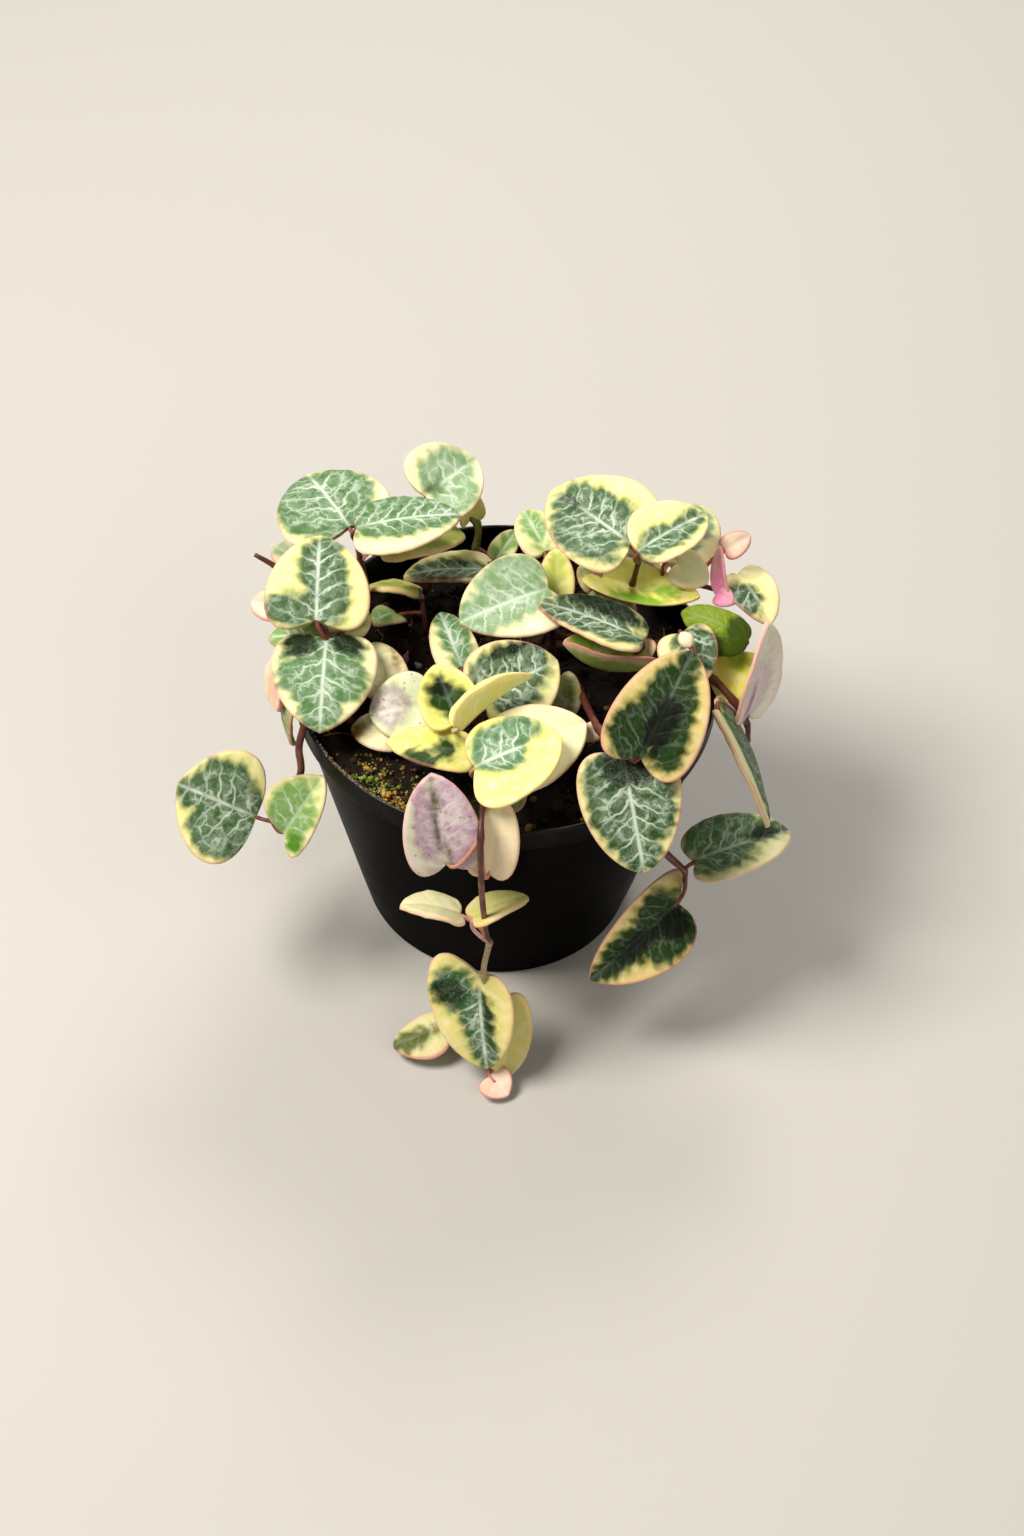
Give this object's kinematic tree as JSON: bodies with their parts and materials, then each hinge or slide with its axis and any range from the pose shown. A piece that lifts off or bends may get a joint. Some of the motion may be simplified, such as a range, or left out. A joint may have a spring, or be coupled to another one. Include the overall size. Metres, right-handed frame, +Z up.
{
  "type": "string of hearts",
  "caption": "Variegated string of hearts in a small tapered nursery pot: leafy stems with heart-shaped leaves standing in peat soil, some trailing over the rim.",
  "frame": {"origin": "centre of the pot's underside, on the surface it stands on", "axes": "+Z up along the pot's axis; -Y towards the side whose stem trails furthest down; +X to the right of that side"},
  "size_m": [0.1226, 0.1183, 0.0904],
  "materials": {
    "pot_plastic": "satin black, dusty and lightly scuffed at the rim",
    "peat_soil": "rough, crumbly and fibrous",
    "variegated_leaf": "waxy, grey-green with silver veins and cream to yellow margins",
    "dark_leaf": "waxy, dark green with pale veins and cream margins",
    "yellow_leaf": "waxy, yellow with dark green patches",
    "cream_leaf": "waxy, cream mottled with pink and silver",
    "purple_shoot": "satin, mauve-purple"
  },
  "bodies": {
    "root": {"pot": "pot_plastic", "soil": "peat_soil", "front_trail": "variegated_leaf", "left_trail": "variegated_leaf", "left_top": "variegated_leaf", "back_left": "variegated_leaf", "back_upright": "variegated_leaf", "small_inner": "variegated_leaf", "right_top": "variegated_leaf", "right_side": "variegated_leaf", "right_front": "dark_leaf", "right_trail": "dark_leaf", "centre": "variegated_leaf", "centre_back": "variegated_leaf", "centre_front": "yellow_leaf", "left_short": "cream_leaf", "back_trail": "variegated_leaf", "back_left_trail": "variegated_leaf", "sprout": "purple_shoot"}
  },
  "joints": []
}
